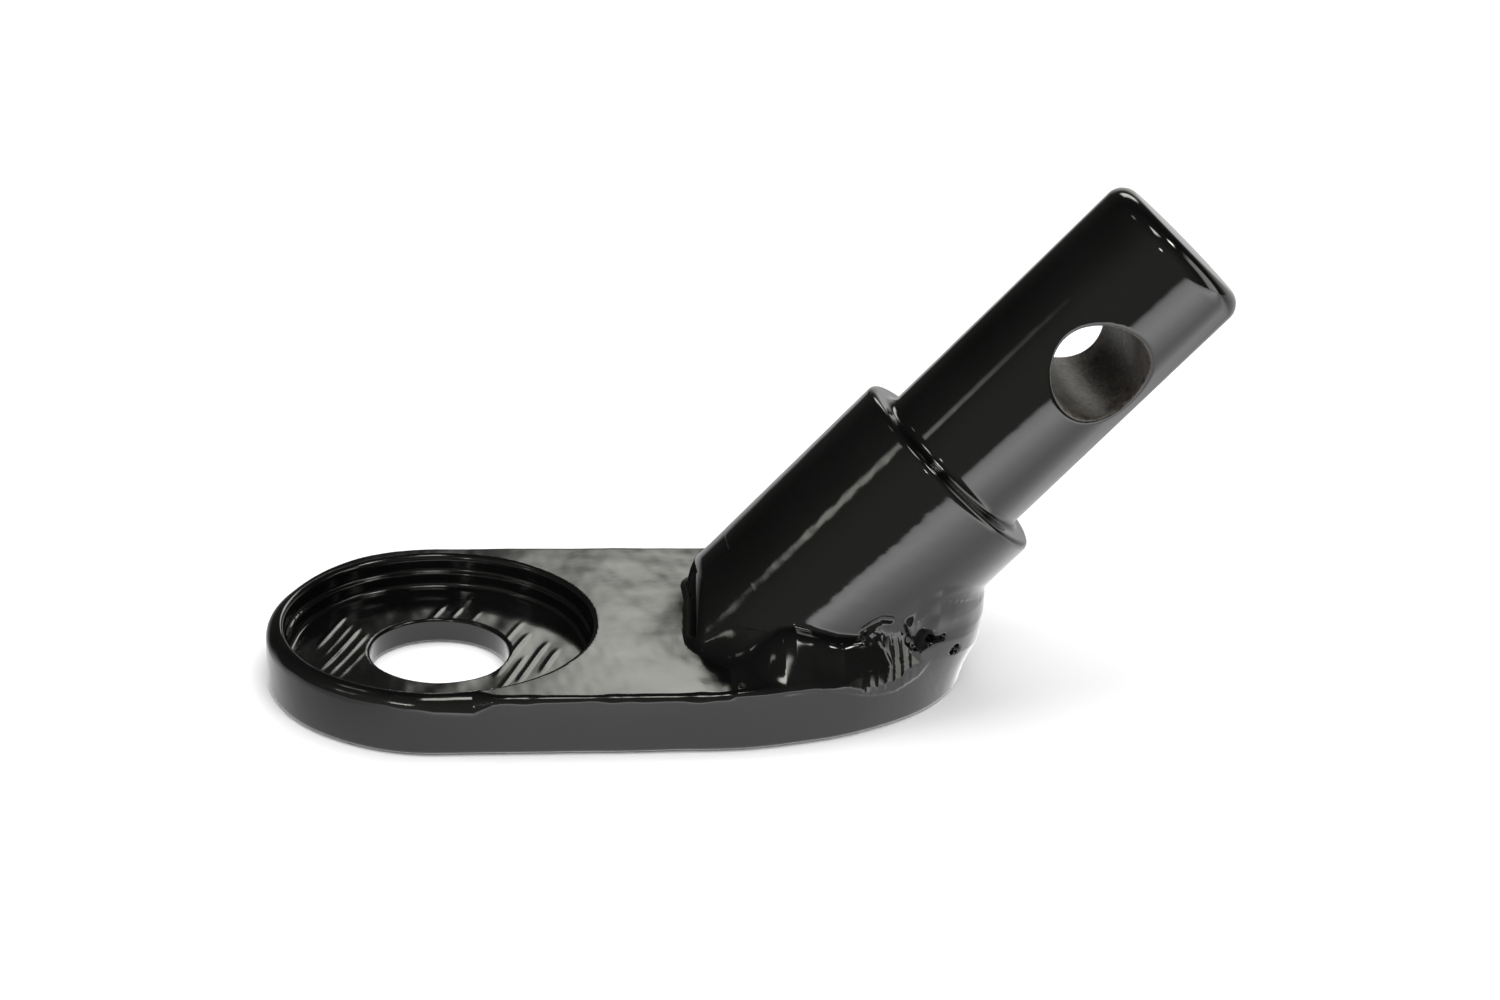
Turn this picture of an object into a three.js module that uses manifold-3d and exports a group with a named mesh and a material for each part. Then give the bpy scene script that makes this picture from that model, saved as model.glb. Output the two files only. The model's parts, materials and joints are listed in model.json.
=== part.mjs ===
// Bicycle trailer hitch coupler: a flat mounting bar that is clamped under a wheel-axle nut,
// and a cross-drilled round stud that leans up out of a short sleeve welded to the bar.
//
// Millimetres, +Z up. The origin is on the bar's underside, below the middle of the
// whole part's length and width. +X runs from the axle hole towards the stud, and the
// stud leans towards +X. The part lies about the XZ plane.
import * as THREE from 'three';
import { mergeVertices } from 'three/addons/utils/BufferGeometryUtils.js';
import Module from 'manifold-3d';

const wasm = await Module();
wasm.setup();

// ---- driving dimensions (mm) ----
const BAR_WIDTH = 32.0; // across Y
const BAR_THICKNESS = 5.6;
const BAR_STRAIGHT = 22.45; // straight sides, from the axle hole's centre towards the stud
const BAR_END_LENGTH = 26.95; // length of the half-elliptical end past the straight sides
const BAR_EDGE = 0.5; // rounding of the bar's rim edges
const AXLE_X = -28.12; // axle hole's centre
const AXLE_HOLE_R = 6.5;
const RECESS_R = 14.27; // round seat for the axle nut and washer
const RECESS_DEPTH = 3.2;
const RECESS_LIP = 0.6; // rounding of the seat's rim
const TILT = THREE.MathUtils.degToRad(48); // stud axis above the bar's plane
const AXIS_X = AXLE_X + 33.32; // where the stud's axis meets the bar's top face
const SLEEVE_R = 10.43;
const SLEEVE_MOUTH = 21.15; // along the axis, from the bar's top face
const SLEEVE_EDGE = 0.7; // rounding of the mouth's outer edge
const TOE_X = AXLE_X + 23.9; // the sleeve's thin toe is cut off square to the bar here
const STUD_R = 7.95;
const STUD_FOOT = 7.6; // the stud's inner end, along the axis
const STUD_END = 50.85; // the stud's outer end, along the axis
const STUD_EDGE = 2.0; // rounding of the outer end
const PIN_HOLE_R = 4.5; // hole for the hitch pin
const PIN_HOLE_AT = 37.5; // its centre, along the axis
const PIN_HOLE_TURN = THREE.MathUtils.degToRad(4.5); // its axis, turned about the stud from square
const SEAM_LEG = 0.95; // fillet bead where the stud leaves the sleeve
const GAP = 0.3; // clearance between neighbouring solids

const TOP = BAR_THICKNESS;
const ROUND = 64; // sides on a full circle

// ---- solids ----
function solid(geometry) {
  const g = geometry.clone();
  g.deleteAttribute('normal');
  g.deleteAttribute('uv');
  const m = mergeVertices(g, 1e-4);
  return new wasm.Manifold(
    new wasm.Mesh({
      numProp: 3,
      vertProperties: new Float32Array(m.attributes.position.array),
      triVerts: new Uint32Array(m.index.array),
    }),
  );
}

function biggest(manifold) {
  const bodies = manifold.decompose();
  bodies.sort((a, b) => b.volume() - a.volume());
  return bodies[0];
}

function geometryOf(manifold) {
  const mesh = biggest(manifold).getMesh();
  const g = new THREE.BufferGeometry();
  const n = mesh.numProp;
  const count = mesh.vertProperties.length / n;
  const p = new Float32Array(count * 3);
  for (let i = 0; i < count; i++)
    for (let k = 0; k < 3; k++) p[3 * i + k] = mesh.vertProperties[n * i + k];
  g.setAttribute('position', new THREE.BufferAttribute(p, 3));
  g.setIndex(new THREE.BufferAttribute(new Uint32Array(mesh.triVerts), 1));
  g.computeVertexNormals();
  return g;
}

// A solid of revolution about +Z: profile is [r, z] pairs that start and end on the axis.
function turned(profile, sides = ROUND) {
  return new THREE.LatheGeometry(
    profile.map(([r, z]) => new THREE.Vector2(r, z)),
    sides,
  ).rotateX(Math.PI / 2);
}

// A quarter round from angle a to b (radians) about [r, z], as profile points.
function arc(r, z, radius, a, b, steps = 4) {
  const points = [];
  for (let i = 0; i <= steps; i++) {
    const t = a + ((b - a) * i) / steps;
    points.push([r + radius * Math.cos(t), z + radius * Math.sin(t)]);
  }
  return points;
}

// From the stud's own frame (its axis on +Z, starting on the bar's top face) to the part's.
const leaning = new THREE.Matrix4()
  .makeTranslation(AXIS_X, 0, TOP)
  .multiply(new THREE.Matrix4().makeRotationY(Math.PI / 2 - TILT));
const lean = (geometry) => geometry.applyMatrix4(leaning);

function block(x0, x1, y0, y1, z0, z1) {
  return new THREE.BoxGeometry(x1 - x0, y1 - y0, z1 - z0).translate(
    (x0 + x1) / 2,
    (y0 + y1) / 2,
    (z0 + z1) / 2,
  );
}

const H = Math.PI / 2;
const far = 80;
const belowTop = solid(block(-far, far, -far, far, -far, TOP + GAP));

// ---- mounting bar: round at the axle end, long half-ellipse under the stud ----
function barOutline() {
  const r = BAR_WIDTH / 2;
  const s = new THREE.Shape();
  s.moveTo(AXLE_X, r);
  s.absarc(AXLE_X, 0, r, H, 3 * H, false);
  s.lineTo(AXLE_X + BAR_STRAIGHT, -r);
  s.absellipse(AXLE_X + BAR_STRAIGHT, 0, BAR_END_LENGTH, r, -H, H, false, 0);
  s.closePath();
  return s;
}
const barBlank = new THREE.ExtrudeGeometry(barOutline(), {
  depth: BAR_THICKNESS - 2 * BAR_EDGE,
  bevelEnabled: true,
  bevelThickness: BAR_EDGE,
  bevelSize: BAR_EDGE,
  bevelOffset: -BAR_EDGE,
  bevelSegments: 3,
  curveSegments: 20,
}).translate(0, 0, BAR_EDGE);
const floorZ = TOP - RECESS_DEPTH;
const recess = turned([
  [0, floorZ],
  [RECESS_R - 0.5, floorZ],
  [RECESS_R, floorZ + 0.5],
  ...arc(RECESS_R + RECESS_LIP, TOP - RECESS_LIP, RECESS_LIP, Math.PI, H, 3),
  [RECESS_R + RECESS_LIP, TOP + 2],
  [0, TOP + 2],
]).translate(AXLE_X, 0, 0);
const axleHole = turned([
  [0, -2],
  [AXLE_HOLE_R + 0.4, -2],
  [AXLE_HOLE_R + 0.4, 0],
  [AXLE_HOLE_R, 0.4],
  [AXLE_HOLE_R, floorZ - 0.35],
  [AXLE_HOLE_R + 0.35, floorZ],
  [AXLE_HOLE_R + 0.35, floorZ + 0.5],
  [0, floorZ + 0.5],
]).translate(AXLE_X, 0, 0);
const bar = solid(barBlank).subtract(solid(recess)).subtract(solid(axleHole));

// ---- sleeve: a short tube, cut to lie on the bar, its thin toe cut off ----
const sleeveOuter = lean(
  turned([
    [0, -25],
    [SLEEVE_R, -25],
    [SLEEVE_R, SLEEVE_MOUTH - SLEEVE_EDGE],
    ...arc(SLEEVE_R - SLEEVE_EDGE, SLEEVE_MOUTH - SLEEVE_EDGE, SLEEVE_EDGE, 0, H, 3),
    [0, SLEEVE_MOUTH],
  ]),
);
const sleeveBore = lean(
  turned([
    [0, -30],
    [STUD_R + GAP, -30],
    [STUD_R + GAP, SLEEVE_MOUTH + 5],
    [0, SLEEVE_MOUTH + 5],
  ]),
);
const toeCut = solid(block(-far, TOE_X + GAP, -far, far, -far, far));
const sleeve = solid(sleeveOuter)
  .subtract(solid(sleeveBore))
  .subtract(belowTop)
  .subtract(toeCut);

// ---- stud: solid round bar standing in the sleeve, drilled across for the hitch pin ----
const studBlank = lean(
  turned([
    [0, STUD_FOOT],
    [STUD_R - 0.5, STUD_FOOT],
    [STUD_R, STUD_FOOT + 0.5],
    [STUD_R, STUD_END - STUD_EDGE],
    ...arc(STUD_R - STUD_EDGE, STUD_END - STUD_EDGE, STUD_EDGE, 0, H, 5),
    [0, STUD_END],
  ]),
);
// the hole's mouths flare a little, following the stud's round side
const flare = 0.4;
const pinHole = lean(
  turned(
    [
      [0, -STUD_R - 2],
      [PIN_HOLE_R + 2.4, -STUD_R - 2],
      [PIN_HOLE_R + flare, -STUD_R],
      [PIN_HOLE_R, -STUD_R + flare * 3.2],
      [PIN_HOLE_R, STUD_R - flare * 3.2],
      [PIN_HOLE_R + flare, STUD_R],
      [PIN_HOLE_R + 2.4, STUD_R + 2],
      [0, STUD_R + 2],
    ],
    40,
  )
    .rotateX(H)
    .rotateZ(PIN_HOLE_TURN)
    .translate(0, 0, PIN_HOLE_AT),
);
const stud = solid(studBlank).subtract(solid(pinHole));

// ---- seam bead: the thin fillet round the stud where it leaves the sleeve ----
const seamInner = STUD_R + GAP;
const seam = lean(
  turned([
    [seamInner, SLEEVE_MOUTH + GAP],
    [seamInner + SEAM_LEG, SLEEVE_MOUTH + GAP],
    [seamInner + SEAM_LEG * 0.45, SLEEVE_MOUTH + GAP + SEAM_LEG * 0.35],
    [seamInner, SLEEVE_MOUTH + GAP + SEAM_LEG],
    [seamInner, SLEEVE_MOUTH + GAP],
  ]),
);

// ---- weld beads round the sleeve's foot, each a row of overlapping puddles ----
// The sleeve's outside meets the bar's top face in an ellipse. A puddle sits at angle
// `at` round it (0 at the heel, under the overhang; 90 on the -Y side), moved outwards by
// `out` and up by `up`, with half-sizes `size` along the outward, sideways and up directions.
const footA = SLEEVE_R / Math.sin(TILT);
const footB = SLEEVE_R;
function puddle(at, out, up, size) {
  const t = THREE.MathUtils.degToRad(at);
  const n = new THREE.Vector2(Math.cos(t) / footA, -Math.sin(t) / footB).normalize();
  return new THREE.SphereGeometry(1, 16, 12)
    .scale(size[0], size[1], size[2])
    .rotateZ(Math.atan2(n.y, n.x))
    .translate(
      AXIS_X + footA * Math.cos(t) + out * n.x,
      -footB * Math.sin(t) + out * n.y,
      TOP + up,
    );
}
const sleeveClear = solid(
  lean(
    turned([
      [0, -30],
      [SLEEVE_R + GAP, -30],
      [SLEEVE_R + GAP, SLEEVE_MOUTH + 5],
      [0, SLEEVE_MOUTH + 5],
    ]),
  ),
).subtract(solid(block(-far, TOE_X, -far, far, -far, far)));

function bead(puddles) {
  let all = null;
  for (const [at, out, up, size] of puddles) {
    const p = solid(puddle(at, out, up, size));
    all = all ? all.add(p) : p;
  }
  return all.subtract(sleeveClear).subtract(belowTop);
}

const frontBead = [
  [112, -0.4, 0.6, [2.2, 3.4, 3.2]],
  [98, -0.2, 0.8, [2.8, 3.4, 3.6]],
  [85, 0.2, 0.6, [3.6, 3.4, 3.6]],
  [72, 0.4, 0.6, [3.8, 3.4, 3.8]],
  [59, 0.2, 0.8, [3.6, 3.2, 4.0]],
  [48, -0.2, 1.0, [3.4, 3.0, 4.4]],
];
const heelBead = [
  [26, 0.1, 1.2, [3.2, 3.2, 5.2]],
  [12, 0.3, 1.2, [3.4, 3.2, 5.4]],
  [-2, 0.4, 1.2, [3.4, 3.2, 5.4]],
  [-15, 0.3, 1.2, [3.3, 3.2, 5.2]],
  [-28, 0.0, 1.2, [3.1, 3.2, 5.0]],
];
const backBead = [
  [-48, -0.2, 1.0, [3.3, 3.0, 4.3]],
  [-60, 0.1, 0.8, [3.4, 3.2, 3.9]],
  [-73, 0.2, 0.6, [3.5, 3.4, 3.7]],
  [-86, 0.1, 0.6, [3.3, 3.4, 3.6]],
  [-99, -0.2, 0.8, [2.7, 3.4, 3.5]],
  [-112, -0.4, 0.6, [2.2, 3.4, 3.2]],
];
// the beads meet end to end at these angles round the foot
function sector(from, to, inset) {
  const a = THREE.MathUtils.degToRad(from);
  const b = THREE.MathUtils.degToRad(to);
  const s = new THREE.Shape();
  s.moveTo(0, 0);
  for (let i = 0; i <= 24; i++) {
    const t = a + ((b - a) * i) / 24;
    s.lineTo(60 * Math.cos(t), -60 * Math.sin(t));
  }
  s.closePath();
  const g = new THREE.ExtrudeGeometry(s, { depth: 2 * far, bevelEnabled: false });
  const mid = (a + b) / 2;
  return solid(g.translate(AXIS_X + inset * Math.cos(mid), -inset * Math.sin(mid), -far));
}
const weldHeel = bead([...frontBead, ...heelBead, ...backBead]).intersect(sector(-38, 38, 0.4));
const weldFront = bead([...frontBead, ...heelBead]).intersect(sector(38, 125, 0.25));
const weldBack = bead([...heelBead, ...backBead]).intersect(sector(-125, -38, 0.25));

// ---- toe weld: closes the cut-off toe of the sleeve and runs down to the bar ----
const toeFill = solid(
  lean(
    turned([
      [0, -30],
      [SLEEVE_R - 0.15, -30],
      [SLEEVE_R - 0.15, SLEEVE_MOUTH],
      [0, SLEEVE_MOUTH],
    ]),
  ),
)
  .intersect(solid(block(TOE_X - 1.0, TOE_X, -7.6, 7.6, TOP + GAP, TOP + 12)));
const toeFoot = solid(
  new THREE.CylinderGeometry(1.0, 1.0, 14.4, 14).scale(1, 1, 1.3).translate(TOE_X - 0.9, 0, TOP + GAP),
).intersect(solid(block(-far, TOE_X, -7.2, 7.2, TOP + GAP, TOP + 12)));
const weldToe = toeFill.add(toeFoot);

// ---- the assembly ----
const paint = (roughness) =>
  new THREE.MeshStandardMaterial({ color: 0x0b0b0c, roughness, metalness: 0.0 });

const part = new THREE.Group();
function place(name, manifold, roughness) {
  const mesh = new THREE.Mesh(
    manifold.isBufferGeometry ? manifold : geometryOf(manifold),
    paint(roughness),
  );
  mesh.name = name;
  part.add(mesh);
}
place('base_bar', bar, 0.12);
place('sleeve', sleeve, 0.1);
place('stud', stud, 0.1);
place('seam_bead', solid(seam), 0.12);
place('weld_front', weldFront, 0.14);
place('weld_back', weldBack, 0.14);
place('weld_heel', weldHeel, 0.14);
place('weld_toe', weldToe, 0.14);

export default part;
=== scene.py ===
import json
import math

import bpy
import numpy as np
from mathutils import Matrix, Vector


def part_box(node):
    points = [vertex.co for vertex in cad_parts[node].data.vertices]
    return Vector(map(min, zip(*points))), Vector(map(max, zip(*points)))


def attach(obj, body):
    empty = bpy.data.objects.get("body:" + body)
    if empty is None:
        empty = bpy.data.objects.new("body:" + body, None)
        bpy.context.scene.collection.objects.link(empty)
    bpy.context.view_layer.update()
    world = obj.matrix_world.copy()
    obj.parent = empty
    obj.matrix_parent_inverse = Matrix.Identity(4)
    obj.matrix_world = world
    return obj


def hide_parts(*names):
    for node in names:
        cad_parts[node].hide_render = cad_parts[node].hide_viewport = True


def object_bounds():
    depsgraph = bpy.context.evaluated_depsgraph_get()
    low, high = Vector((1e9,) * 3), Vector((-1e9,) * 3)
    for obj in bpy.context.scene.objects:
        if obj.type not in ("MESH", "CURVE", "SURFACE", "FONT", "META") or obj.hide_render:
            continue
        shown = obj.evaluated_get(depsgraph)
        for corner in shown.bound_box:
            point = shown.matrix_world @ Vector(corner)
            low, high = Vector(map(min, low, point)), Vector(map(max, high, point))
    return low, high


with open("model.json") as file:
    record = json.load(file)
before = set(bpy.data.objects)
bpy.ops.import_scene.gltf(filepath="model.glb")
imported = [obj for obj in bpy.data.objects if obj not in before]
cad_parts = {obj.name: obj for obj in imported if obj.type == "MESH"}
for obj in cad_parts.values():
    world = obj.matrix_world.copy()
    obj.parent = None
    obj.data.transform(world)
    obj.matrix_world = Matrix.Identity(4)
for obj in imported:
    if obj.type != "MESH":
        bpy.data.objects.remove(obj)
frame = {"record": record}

CAD_LO, CAD_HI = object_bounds()

# =====================================================================================
# The coupler is a weldment under one thick coat of gloss black. Its visible skin is one
# continuous surface, made here as a level set around the CAD's own dimensions, and cut
# into one closed piece per CAD node. Everything below is in millimetres until it is
# written into a mesh.
# =====================================================================================

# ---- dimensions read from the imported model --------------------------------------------
bar_lo, bar_hi = (np.array(v) * 1000 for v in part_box("base_bar"))
stud_lo, stud_hi = (np.array(v) * 1000 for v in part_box("stud"))
mount = {m["name"]: m for m in frame["record"]["mounts"]}
T = float(bar_hi[2])                      # bar thickness
R = float(bar_hi[1] - bar_lo[1]) / 2      # half the bar's width
AX = float(bar_lo[0]) + R                 # axle hole's centre
XE = float(bar_hi[0])                     # the bar's far end
STRAIGHT = 22.45                          # straight sides end here, from the axle hole
XL = AX + STRAIGHT
A_END = XE - XL
SEAT_R, HOLE_R = 14.27, 6.5
SEAT_Z = float(mount["axle_nut_seat"]["pos_m"][2]) * 1000
AXIS = np.array(mount["stud_end"]["axis"], float)
AXIS /= np.linalg.norm(AXIS)
STUD_TIP = np.array(mount["stud_end"]["pos_m"], float) * 1000
STUD_END = (STUD_TIP[2] - T) / AXIS[2]    # along the axis, from the bar's top face
P0 = STUD_TIP - AXIS * STUD_END
SLEEVE_R, SLEEVE_MOUTH = 10.43, 21.15
STUD_R = float(stud_hi[1] - stud_lo[1]) / 2
PIN_R, PIN_AT, PIN_TURN = 4.5, 37.5, math.radians(4.5)
TOE_X = AX + 23.9
STUD_FOOT = 7.6
E2 = np.array([-AXIS[2], 0.0, AXIS[0]])   # square to the axis, leaning up and back
PIN_C = P0 + AXIS * PIN_AT
PIN_D = math.cos(PIN_TURN) * np.array([0.0, -1.0, 0.0]) - math.sin(PIN_TURN) * E2

# ---- smooth noise: sums of plane waves, fixed seeds -------------------------------------
_waves = {}


def noise(p, wavelength, seed, count=14, stretch=(1, 1, 1)):
    """About -1 to 1, smooth, band-limited round one wavelength (mm)."""
    key = (wavelength, seed, count, stretch)
    if key not in _waves:
        rng = np.random.RandomState(seed)
        d = rng.normal(size=(count, 3))
        d /= np.linalg.norm(d, axis=1)[:, None]
        k = 2 * math.pi / (wavelength * rng.uniform(0.7, 1.5, count))
        _waves[key] = (d * k[:, None] * np.array(stretch), rng.uniform(0, 2 * math.pi, count))
    k, ph = _waves[key]
    out = np.zeros(len(p))
    for i in range(len(ph)):
        out += np.sin(p @ k[i] + ph[i])
    return out * (1.25 / math.sqrt(count))


def smooth(a, b, x):
    t = np.clip((x - a) / (b - a), 0, 1)
    return t * t * (3 - 2 * t)


# ---- level-set joins ---------------------------------------------------------------------
def cut_round(a, b, r):
    """Intersection with a round edge of radius r."""
    return np.minimum(-r, np.maximum(a, b)) + np.hypot(np.maximum(r + a, 0), np.maximum(r + b, 0))


def join_round(a, b, r):
    """Union with a round fillet of radius r."""
    return np.maximum(r, np.minimum(a, b)) - np.hypot(np.maximum(r - a, 0), np.maximum(r - b, 0))


def join_soft(a, b, k):
    """Union with a soft blend."""
    h = np.clip(0.5 + 0.5 * (b - a) / k, 0, 1)
    return b + (a - b) * h - k * h * (1 - h)


# ---- the parts of the surface ---------------------------------------------------------------
def outline(p):
    """Signed distance, seen from above, to the bar's outline."""
    x, y = p[:, 0], p[:, 1]
    left = np.hypot(x - AX, y) - R
    mid = np.abs(y) - R
    ex = np.maximum(x - XL, 0)
    q = np.sqrt((ex / A_END) ** 2 + (y / R) ** 2) + 1e-9
    g = np.sqrt((ex / A_END**2) ** 2 + (y / R**2) ** 2) + 1e-9
    right = np.where(q < 0.35, -R * 0.65, (q - 1) * q / g)
    return np.where(x < AX, left, np.where(x < XL, mid, right))


# ridges left by forging in the nut seat's floor: place across them, height, and the ends along them
RIDGES = [
    (-10.9, 0.055, -3.5, 3.5), (-9.7, 0.035, -5.0, 1.5), (-8.7, 0.070, -7.5, 1.0), (-7.6, 0.050, -8.0, 0.0),
    (-6.5, 0.030, -8.5, -3.0), (-3.1, 0.050, 6.0, 9.6), (-1.4, 0.050, 7.2, 11.8), (0.6, 0.02, 6.5, 9.0),
    (5.2, 0.030, 3.0, 8.0), (6.7, 0.060, -2.5, 5.5), (8.0, 0.045, -5.0, 1.0), (9.0, 0.070, -3.0, 4.5), (10.4, 0.060, -0.5, 3.5),
]


def seat_floor(p, rough):
    """Height of the nut seat's floor."""
    z = np.full(len(p), SEAT_Z)
    near = np.hypot(p[:, 0] - AX, p[:, 1]) < SEAT_R + 1.5
    near &= (p[:, 2] < SEAT_Z + 1.2) & (p[:, 2] > SEAT_Z - 1.2)
    if not rough or not near.any():
        return z
    q = p[near]
    x, y = q[:, 0] - AX, q[:, 1]
    across, along = x * 0.926 - y * 0.378, x * 0.378 + y * 0.926
    h = np.zeros(len(q))
    bend = 0.08 * np.sin(along * 0.45)
    for at, height, lo, hi in RIDGES:
        h += height * np.exp(-(((across + bend - at) / 0.24) ** 2)) * smooth(lo - 1.2, lo + 1.2, along) * smooth(hi + 1.2, hi - 1.2, along)
    flat = np.stack([across, along * 0.3, np.zeros_like(x)], -1)
    h += 0.012 * noise(flat, 2.6, 11, 8)
    z[near] += h
    return z


def rim_radius(p, rough):
    """The bar's upper edge: the coat has pulled back thinly on the straights and lies thick round the end."""
    x, y = p[:, 0] - AX, p[:, 1]
    front = np.interp(x, [-16, -9, -5, -3.5, -1.5, 0, 1.5, 2.8, 3.6, 4.5, 7, 23], [1.5, 1.4, 1.15, 1.2, 1.45, 1.65, 1.9, 2.0, 1.45, 0.85, 0.72, 0.72])
    back = 0.45 + 0.95 * smooth(-7.0, -14.0, x)
    near = smooth(3.0, -5.0, y)
    r = back + (front - back) * near
    if rough:
        q = p * np.array([1, 1, 0.0])
        r = r + (0.06 * noise(q, 2.4, 21, 8) + 0.09 * noise(q, 8.0, 23, 8)) * (0.15 + 0.85 * near)
    return np.clip(r, 0.26, 2.5)


def bar(p, rough=True):
    z = p[:, 2]
    d2 = outline(p)
    if rough:
        edge = np.abs(d2) < 2.5
        if edge.any():
            q = p[edge] * np.array([1, 1, 0.5])
            d2 = d2.copy()
            d2[edge] += 0.018 * noise(q, 7.0, 22, 8)
        r_top = np.full(len(p), 0.5)
        if edge.any():
            r_top[edge] = rim_radius(p[edge], True)
    else:
        r_top = rim_radius(p, False)
    b = cut_round(d2, z - T, r_top)
    b = cut_round(b, -z, 0.4)
    rho = np.hypot(p[:, 0] - AX, p[:, 1])
    # a shallow step half-way up the seat's far wall, where the coat has run
    ledge = 0.42 * smooth(-3.0, 3.0, p[:, 1])
    upper = cut_round(rho - SEAT_R, SEAT_Z + 1.45 - z, 0.3)
    lower = cut_round(rho - SEAT_R + ledge, seat_floor(p, rough) - z, 0.5)
    seat = join_soft(upper, lower, 0.2)
    b = cut_round(b, -seat, 0.55)
    return cut_round(b, HOLE_R - rho, 0.3)


def axial(p):
    q = p - P0
    s = q @ AXIS
    rad = q - s[:, None] * AXIS
    rho = np.sqrt((rad**2).sum(1))
    return s, rho, rad


def sleeve(p, s, rho):
    d = cut_round(rho - SLEEVE_R, s - SLEEVE_MOUTH, 0.7)
    return cut_round(d, TOE_X - p[:, 0], 0.6)


def toe(p, s, rho):
    """The short weld that closes the sleeve's toe, a little askew."""
    d = cut_round(rho - SLEEVE_R, s - 10.5, 0.5)
    return cut_round(d, TOE_X - 0.75 + 0.10 * (p[:, 1] + 4) - p[:, 0], 1.3)


def stud(p, s, rho):
    d = cut_round(rho - STUD_R, s - STUD_END + 0.30 * (np.minimum(rho, 9.0) / STUD_R) ** 2, 1.7)
    d = np.maximum(d, STUD_FOOT + 4.0 - s)
    q = p - PIN_C
    along = q @ PIN_D
    r = np.sqrt(np.maximum((q**2).sum(1) - along**2, 0))
    return cut_round(d, PIN_R - r, 0.55)


FOOT_A, FOOT_B = SLEEVE_R / AXIS[2], SLEEVE_R


def half_width(x):
    """The bar's half-width at x from the axle hole's centre."""
    return R * np.sqrt(np.clip(1 - np.clip((x - STRAIGHT) / A_END, 0, 1) ** 2, 0.0025, 1))


def side_bead(p, x, y, shift, tall, phase, rough):
    """The weld along one side of the sleeve. A smooth pass starts narrow against the sleeve, widens,
    laps over the bar's edge and ends in a round nose. The last pass goes on round the corner, its
    ripples stacked like coins. x is from the axle hole's centre, y outwards. Gives the weld, and the
    face it melted the bar's edge down to."""
    z = p[:, 2]
    xs = x - shift
    d2 = outline(p)
    rim = half_width(x)
    # how far the weld laps down the bar's side
    drop = np.interp(xs, [33.3, 35, 36.6, 38.2, 39.7, 41.5, 43.9, 45.9], [0.0, 0.3, 0.75, 1.35, 1.65, 1.85, 1.2, -0.4])
    # first pass
    crest = np.interp(xs, [24.5, 26, 28, 29.6, 30.8, 32, 33.5, 35, 36, 37.5, 39.5, 41], [-0.5, 0.0, 1.3, 2.6, 3.5, 3.75, 3.6, 3.35, 3.15, 3.1, 3.1, 3.1]) * tall
    edge_y = np.where(xs > 38, half_width(38.0 + shift) - 0.42 * (xs - 38), rim)
    reach = edge_y + 0.1 - FOOT_B + 0.35
    v = y - FOOT_B + 0.35
    v0, c = np.minimum(np.interp(xs, [26, 30, 34, 36.5], [0.3, 0.9, 1.7, 2.1]), reach - 1.65), 0.6
    bend = lambda t: 0.5 * ((t - v0) + np.sqrt((t - v0) ** 2 + c * c))
    ledge = 0.16 * smooth(28, 31, xs) * smooth(38.0, 35.5, xs)
    top = T + crest - ledge * (v - 0.35) - np.maximum(crest + drop - ledge * (reach - 0.35), 0.2) * bend(v) / bend(reach)
    lobe = (z - top) * 0.55
    nose = np.interp(z, [3.4, 4.4, 6.1, 7.5, 8.6, 9.5], [40.8, 41.0, 41.1, 40.4, 39.6, 39.0])
    lobe = cut_round(lobe, (xs - nose) * 0.9, 0.3)
    # last pass: a steep band that follows the bar's outline, over its edge
    high = np.interp(xs, [38, 40, 42, 44], [9.3, 9.7, 9.9, 10.2]) - T
    low = T - drop
    t = np.clip((T + high - z) / (high + drop), 0, 1.3)
    wide = np.interp(xs, [38, 44], [2.45, 1.35])
    face = d2 + wide * (1 - t ** 1.35) - 0.35
    band = face * 0.8
    if rough:
        arc = xs + 0.10 * (z - 6.5) + 0.030 * (z - 6.5) ** 2
        saw = ((arc + phase) / 0.86) % 1.0
        scale = np.where(saw < 0.8, saw / 0.8, (1 - saw) / 0.2)
        band = band + 0.085 * scale * smooth(38.4, 39.2, xs) * smooth(44.4, 43.4, xs)
    band = cut_round(band, 38.0 - xs, 0.6)
    band = cut_round(band, z - T - high - 0.1, 0.3)
    both = join_soft(lobe, band, 0.12)
    lip = np.interp(xs, [32, 37, 38.5, 41.5, 43.5], [0.0, 0.05, 0.28, 0.28, 0.05])
    weld = cut_round(both, np.maximum(d2 - lip, 7.0 - y), 0.30)
    weld = cut_round(weld, (T - drop - 0.25) - z, 0.15)
    melt = np.where((xs > 32.5) & (xs < 45.5) & (y > 8.0), np.minimum(both, z - T + drop), -40.0)
    return weld, melt


# places where the weld didn't fill: middle and half-sizes
PITS = ((44.2, -9.65, 7.75, 1.25, 0.9, 1.05), (45.5, -8.75, 7.5, 0.7, 0.6, 0.4), (47.7, -7.4, 5.6, 0.6, 0.45, 0.3))


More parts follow.
